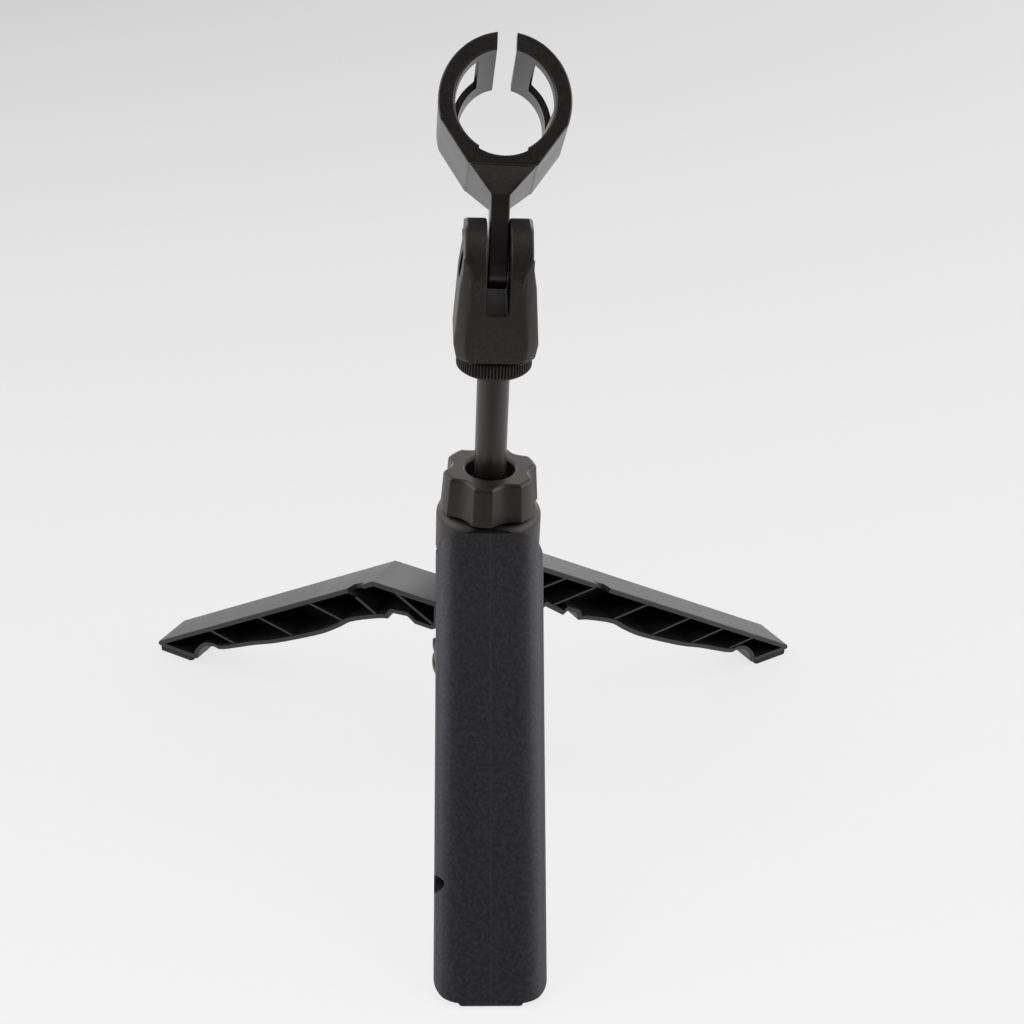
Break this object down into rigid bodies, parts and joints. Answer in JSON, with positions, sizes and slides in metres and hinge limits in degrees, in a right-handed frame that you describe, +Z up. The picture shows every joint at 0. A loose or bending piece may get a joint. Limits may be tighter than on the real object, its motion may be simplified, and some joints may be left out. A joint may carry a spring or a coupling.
{
  "type": "desktop microphone stand",
  "caption": "Folding tripod desk stand with a telescoping pole, twist-lock knob and tilting C-shaped microphone clip.",
  "frame": {"origin": "On the floor, in the middle of the box round the three feet with the legs open. The pole stands 23.67 mm behind it.", "axes": "+Z up along the pole, the front leg points to -Y, +X to the right seen from the front"},
  "size_m": [0.2388, 0.1943, 0.2483],
  "materials": {
    "leg_plastic": "satin moulded black plastic with a very fine grain",
    "moulded_plastic": "satin moulded black plastic",
    "satin_plastic": "satin black plastic",
    "clip_plastic": "slightly flexible satin black plastic",
    "dark_nylon": "dull nylon",
    "black_tube": "smooth black coated steel tube",
    "steel": "turned steel",
    "rubber": "matt black rubber"
  },
  "bodies": {
    "hub": {"hub_body": "moulded_plastic", "guide_tube": "black_tube", "lower_collar": "moulded_plastic", "tube_end_cap": "moulded_plastic", "collet": "dark_nylon", "front_hinge_pin": "steel", "left_hinge_pin": "steel", "right_hinge_pin": "steel"},
    "knob": {"lock_knob": "satin_plastic"},
    "pole": {"pole": "black_tube", "pole_bush": "dark_nylon", "threaded_stud": "steel"},
    "lock_ring": {"knurled_ring": "satin_plastic"},
    "head": {"clip_base": "satin_plastic", "pivot_nut": "steel"},
    "screw": {"pivot_screw": "steel", "pivot_washer": "steel"},
    "clip": {"mic_clip": "clip_plastic"},
    "front_leg": {"front_leg": "leg_plastic", "front_foot_pad": "rubber"},
    "left_leg": {"left_leg": "leg_plastic", "left_foot_pad": "rubber"},
    "right_leg": {"right_leg": "leg_plastic", "right_foot_pad": "rubber"}
  },
  "joints": [
    {"name": "front_leg_fold", "type": "hinge", "parent": "hub", "child": "front_leg", "pos_m": [0, 0.01267, 0.086], "axis": [1, 0, 0], "range_deg": [0, 46.1]},
    {"name": "left_leg_fold", "type": "hinge", "parent": "hub", "child": "left_leg", "pos_m": [-0.01039, 0.02967, 0.0556], "axis": [-0.5, -0.866, 0], "range_deg": [0, 58.1]},
    {"name": "right_leg_fold", "type": "hinge", "parent": "hub", "child": "right_leg", "pos_m": [0.01039, 0.02967, 0.0556], "axis": [-0.5, 0.866, 0], "range_deg": [0, 58.1]},
    {"name": "pole_slide", "type": "slide", "parent": "hub", "child": "pole", "axis": [0, 0, 1], "range_m": [-0.033, 0.044]},
    {"name": "knob_turn", "type": "hinge", "parent": "hub", "child": "knob", "pos_m": [0, 0.02367, 0.108], "axis": [0, 0, 1], "range_deg": [-90, 90]},
    {"name": "ring_turn", "type": "hinge", "parent": "pole", "child": "lock_ring", "pos_m": [0, 0.02367, 0.1544], "axis": [0, 0, 1], "range_deg": [-180, 180]},
    {"name": "head_swivel", "type": "hinge", "parent": "pole", "child": "head", "pos_m": [0, 0.02367, 0.16], "axis": [0, 0, 1], "range_deg": [-180, 180]},
    {"name": "screw_turn", "type": "hinge", "parent": "head", "child": "screw", "pos_m": [0, 0.02367, 0.1852], "axis": [1, 0, 0], "range_deg": [-90, 90]},
    {"name": "clip_tilt", "type": "hinge", "parent": "head", "child": "clip", "pos_m": [0, 0.02367, 0.1852], "axis": [1, 0, 0], "range_deg": [-50, 120]}
  ]
}
